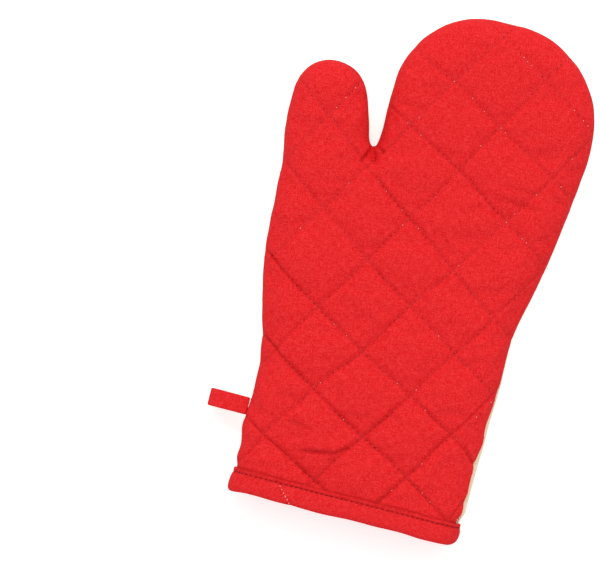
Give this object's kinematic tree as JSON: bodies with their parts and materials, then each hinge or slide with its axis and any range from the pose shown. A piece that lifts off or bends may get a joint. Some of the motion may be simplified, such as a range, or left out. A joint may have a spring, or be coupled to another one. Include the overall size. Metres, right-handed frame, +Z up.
{
  "type": "oven mitt",
  "caption": "Padded oven mitt with a quilted red front, plain ecru back, bound cuff, separate thumb and a tape hanging loop; thumb, fingers and loop bend.",
  "frame": {"origin": "on the table under the middle of the whole mitt, loop included", "axes": "+Y from the cuff to the fingertips, +Z up out of the red front face, thumb towards -X"},
  "size_m": [0.1908, 0.32, 0.034],
  "materials": {
    "red_cover": "matte",
    "ecru_cover": "matte",
    "wadding": "matte",
    "lining": "matte",
    "red_thread": "satin",
    "ecru_thread": "satin",
    "red_binding": "matte"
  },
  "bodies": {
    "hand": {"front_cover_hand": "red_cover", "front_wadding_hand": "wadding", "front_lining_hand": "lining", "front_quilting_hand": "red_thread", "back_cover_hand": "ecru_cover", "back_wadding_hand": "wadding", "back_lining_hand": "lining", "back_quilting_hand": "ecru_thread", "side_seam_hand": "red_thread", "cuff_binding": "red_binding", "binding_stitching": "red_thread", "loop_ends": "red_binding"},
    "thumb": {"front_cover_thumb": "red_cover", "front_wadding_thumb": "wadding", "front_lining_thumb": "lining", "front_quilting_thumb": "red_thread", "back_cover_thumb": "ecru_cover", "back_wadding_thumb": "wadding", "back_lining_thumb": "lining", "back_quilting_thumb": "ecru_thread", "side_seam_thumb": "red_thread"},
    "fingers": {"front_cover_fingers": "red_cover", "front_wadding_fingers": "wadding", "front_lining_fingers": "lining", "front_quilting_fingers": "red_thread", "back_cover_fingers": "ecru_cover", "back_wadding_fingers": "wadding", "back_lining_fingers": "lining", "back_quilting_fingers": "ecru_thread", "side_seam_fingers": "red_thread"},
    "loop": {"hanging_loop": "red_binding"}
  },
  "joints": [
    {"name": "thumb_fold", "type": "hinge", "parent": "hand", "child": "thumb", "pos_m": [-0.03506, 0.06573, 0.034], "axis": [0.788, 0.6157, 0], "range_deg": [0, 40], "stiffness_Nm_per_rad": 0.02},
    {"name": "finger_fold", "type": "hinge", "parent": "hand", "child": "fingers", "pos_m": [0.03094, 0.08973, 0.034], "axis": [1, 0, 0], "range_deg": [0, 60], "stiffness_Nm_per_rad": 0.05},
    {"name": "loop_swing", "type": "hinge", "parent": "hand", "child": "loop", "pos_m": [-0.07236, -0.1085, 0.017], "axis": [0, 1, 0], "range_deg": [-55, 90], "stiffness_Nm_per_rad": 0.002}
  ]
}
